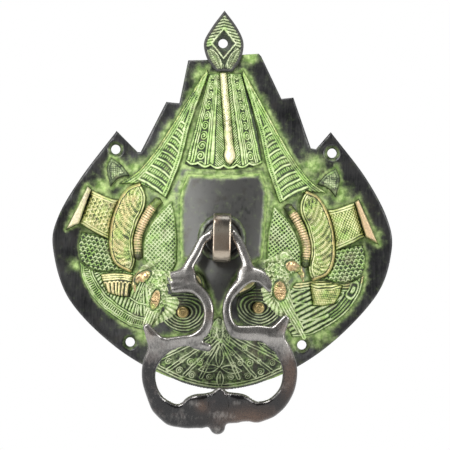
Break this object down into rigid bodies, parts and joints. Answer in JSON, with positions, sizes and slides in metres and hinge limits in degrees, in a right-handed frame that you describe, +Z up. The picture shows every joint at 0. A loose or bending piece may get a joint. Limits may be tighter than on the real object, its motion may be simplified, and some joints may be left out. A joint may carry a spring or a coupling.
{
  "type": "door knocker",
  "caption": "Leaf-shaped wall plate in animal-face relief, with a forehead hook that carries a swinging bail handle and its parrots.",
  "frame": {"origin": "on the door face, midway between the two upper screw holes", "axes": "+X to the right of a person facing the knocker, +Y into the door, +Z up"},
  "size_m": [0.1792, 0.0443, 0.2236],
  "materials": {
    "plate_patina": "dark gunmetal patina with verdigris round the relief",
    "shield_patina": "smooth dark patina, rubbed",
    "verdigris_relief": "cast relief with green verdigris and dark recesses",
    "rubbed_brass": "brass rubbed bright on the high points",
    "bail_patina": "dark bronze patina, polished by hands",
    "hook_bronze": "brown bronze patina",
    "plain_brass": "plain turned brass"
  },
  "bodies": {
    "plate": {"back_plate": "plate_patina", "finial": "verdigris_relief", "crest_panel": "verdigris_relief", "crest_spine": "rubbed_brass", "face_shield": "shield_patina", "hook_pad": "shield_patina", "snout_fan": "verdigris_relief", "hook": "hook_bronze", "hook_washer": "plain_brass", "hook_nut": "plain_brass", "crest_wing_left": "verdigris_relief", "temple_left": "verdigris_relief", "horn_left": "rubbed_brass", "ear_leaf_left": "verdigris_relief", "drum_left": "verdigris_relief", "drum_cap_left": "rubbed_brass", "small_leaf_left": "verdigris_relief", "scale_collar_left": "verdigris_relief", "lower_wing_left": "verdigris_relief", "basket_left": "rubbed_brass", "brow_left": "shield_patina", "eye_socket_left": "verdigris_relief", "eye_stud_left": "rubbed_brass", "crest_wing_right": "verdigris_relief", "temple_right": "verdigris_relief", "horn_right": "rubbed_brass", "ear_leaf_right": "verdigris_relief", "drum_right": "verdigris_relief", "drum_cap_right": "rubbed_brass", "small_leaf_right": "verdigris_relief", "scale_collar_right": "verdigris_relief", "lower_wing_right": "verdigris_relief", "basket_right": "rubbed_brass", "brow_right": "shield_patina", "eye_socket_right": "verdigris_relief", "eye_stud_right": "rubbed_brass"},
    "bail": {"bail": "bail_patina", "parrot_left": "verdigris_relief", "parrot_right": "verdigris_relief"}
  },
  "joints": [
    {"name": "bail_swing", "type": "hinge", "parent": "plate", "child": "bail", "pos_m": [0, -0.031, -0.0437], "axis": [-1, 0, 0], "range_deg": [-6, 170]}
  ]
}
